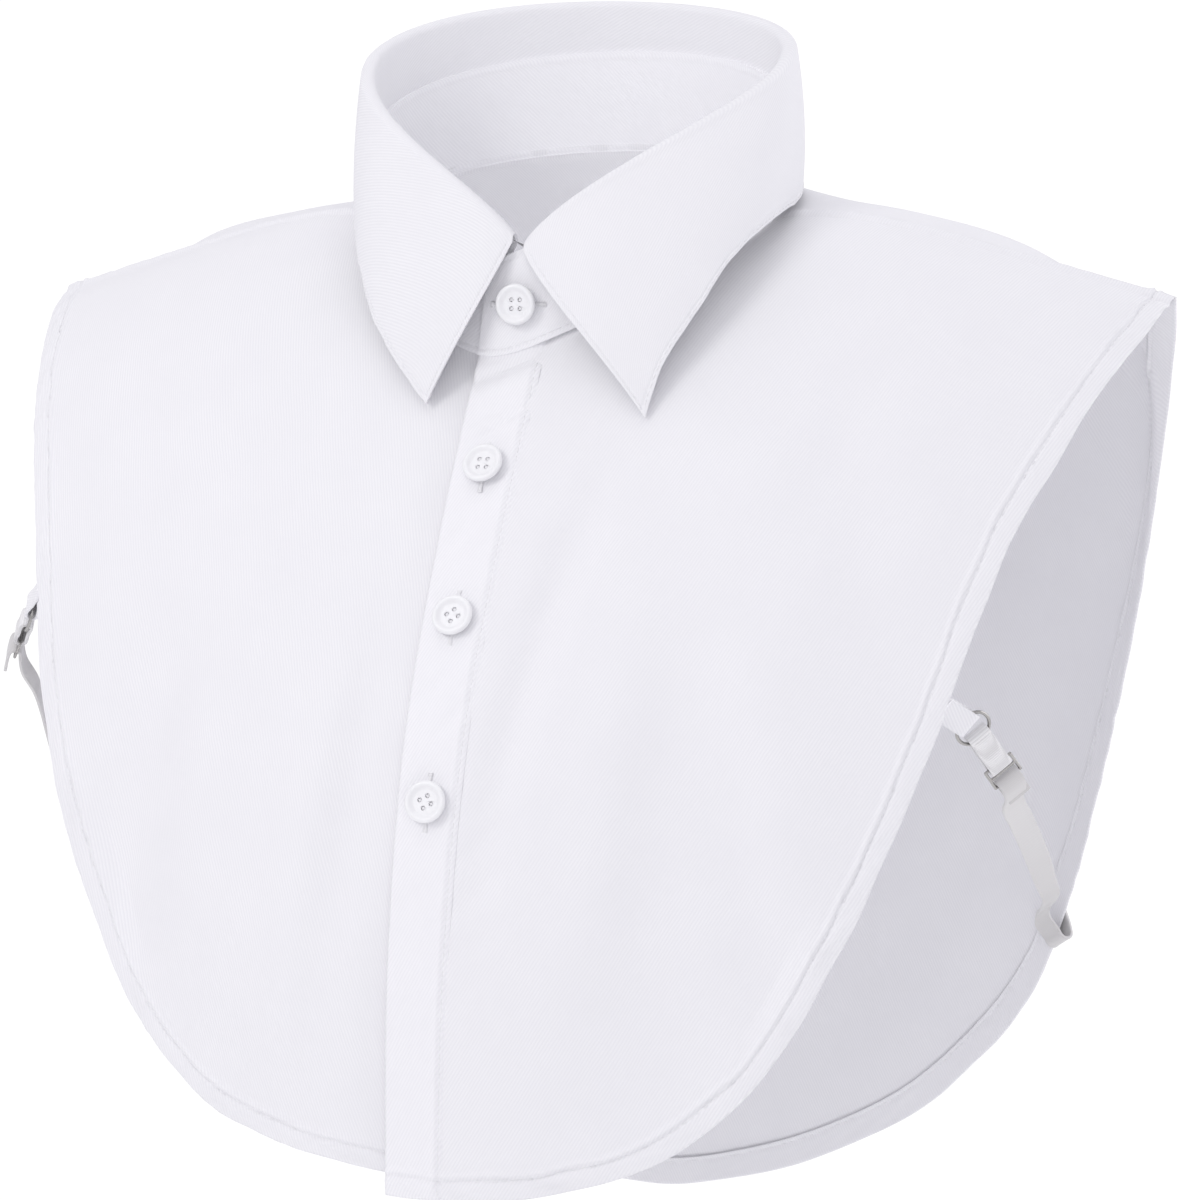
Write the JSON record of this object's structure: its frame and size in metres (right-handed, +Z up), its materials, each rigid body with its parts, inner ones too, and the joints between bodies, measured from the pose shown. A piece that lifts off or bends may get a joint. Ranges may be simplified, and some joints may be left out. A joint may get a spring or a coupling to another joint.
{
  "type": "detachable shirt collar",
  "caption": "White cloth false shirt front with a turned-down collar, buttoned placket, rounded front and back panels and elastic side ties.",
  "frame": {"origin": "the middle of the neck's base, where the wearer's neck and shoulders hold the piece", "axes": "+Z up along the neck, the fronts face -Y, the wearer's left is +X"},
  "size_m": [0.3496, 0.2233, 0.3729],
  "materials": {
    "front_left": "matt white cotton twill",
    "front_right": "matt white cotton twill",
    "back_panel": "matt white cotton twill",
    "placket": "matt white cotton twill",
    "hem_left": "matt white cotton twill",
    "hem_right": "matt white cotton twill",
    "hem_back": "matt white cotton twill",
    "collar_stand": "matt white cotton twill",
    "collar_leaf": "matt white cotton twill",
    "button_1": "glossy white",
    "button_2": "glossy white",
    "button_3": "glossy white",
    "button_stand": "glossy white",
    "tab_left": "matt white cotton twill",
    "tab_right": "matt white cotton twill",
    "ring_left": "bright nickel wire",
    "ring_right": "bright nickel wire",
    "band_left": "ribbed white band",
    "band_right": "ribbed white band",
    "slider_left": "bright nickel wire",
    "slider_right": "bright nickel wire",
    "strap_left": "satin elastic, pale grey",
    "strap_right": "satin elastic, pale grey"
  },
  "bodies": {
    "root": {"front_left": "front_left", "front_right": "front_right", "back_panel": "back_panel", "placket": "placket", "hem_left": "hem_left", "hem_right": "hem_right", "hem_back": "hem_back", "collar_stand": "collar_stand", "collar_leaf": "collar_leaf", "button_1": "button_1", "button_2": "button_2", "button_3": "button_3", "button_stand": "button_stand", "tab_left": "tab_left", "tab_right": "tab_right", "ring_left": "ring_left", "ring_right": "ring_right", "band_left": "band_left", "band_right": "band_right", "slider_left": "slider_left", "slider_right": "slider_right", "strap_left": "strap_left", "strap_right": "strap_right"}
  },
  "joints": []
}
